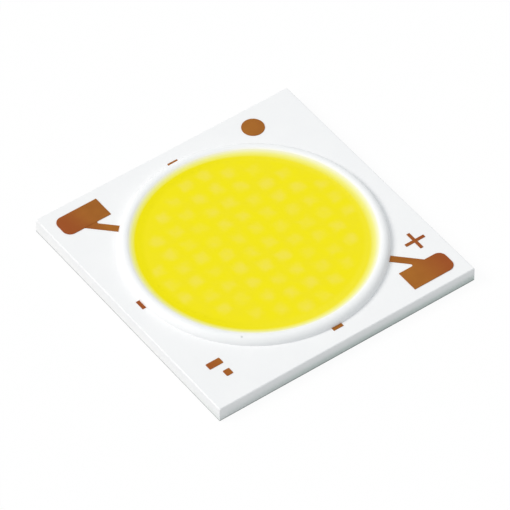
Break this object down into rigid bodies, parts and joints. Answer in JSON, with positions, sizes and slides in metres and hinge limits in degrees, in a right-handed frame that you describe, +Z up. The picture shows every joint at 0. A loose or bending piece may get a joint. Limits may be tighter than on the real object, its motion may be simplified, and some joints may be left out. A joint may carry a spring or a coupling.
{
  "type": "chip-on-board led",
  "caption": "Square white ceramic LED module with a round yellow light surface in a white dam and a copper solder pad at two opposite corners.",
  "frame": {"origin": "centre of the ceramic plate's underside", "axes": "+Z up out of the light surface, +X to the right and +Y to the back, with the anode pad front right and the cathode pad back left"},
  "size_m": [0.0238, 0.0238, 0.0019],
  "materials": {
    "alumina": "fired white alumina, smooth matte",
    "printed_copper": "printed copper, satin, faintly tarnished",
    "white_silicone": "cured white silicone bead, soft gloss",
    "phosphor_silicone": "clear silicone filled with yellow phosphor, soft gloss",
    "sapphire": "polished sapphire chip",
    "gold": "bright drawn gold wire"
  },
  "bodies": {
    "root": {"ceramic_plate": "alumina", "anode_circuit": "printed_copper", "cathode_circuit": "printed_copper", "plus_sign": "printed_copper", "test_point": "printed_copper", "centre_mark_left": "printed_copper", "centre_mark_front": "printed_copper", "centre_mark_back": "printed_copper", "code_bar": "printed_copper", "code_square": "printed_copper", "dam": "white_silicone", "phosphor_fill": "phosphor_silicone", "die_string_1": "sapphire", "die_string_2": "sapphire", "die_string_3": "sapphire", "die_string_4": "sapphire", "die_string_5": "sapphire", "die_string_6": "sapphire", "bond_wires_1": "gold", "bond_wires_2": "gold", "bond_wires_3": "gold", "bond_wires_4": "gold", "bond_wires_5": "gold", "bond_wires_6": "gold"}
  },
  "joints": []
}
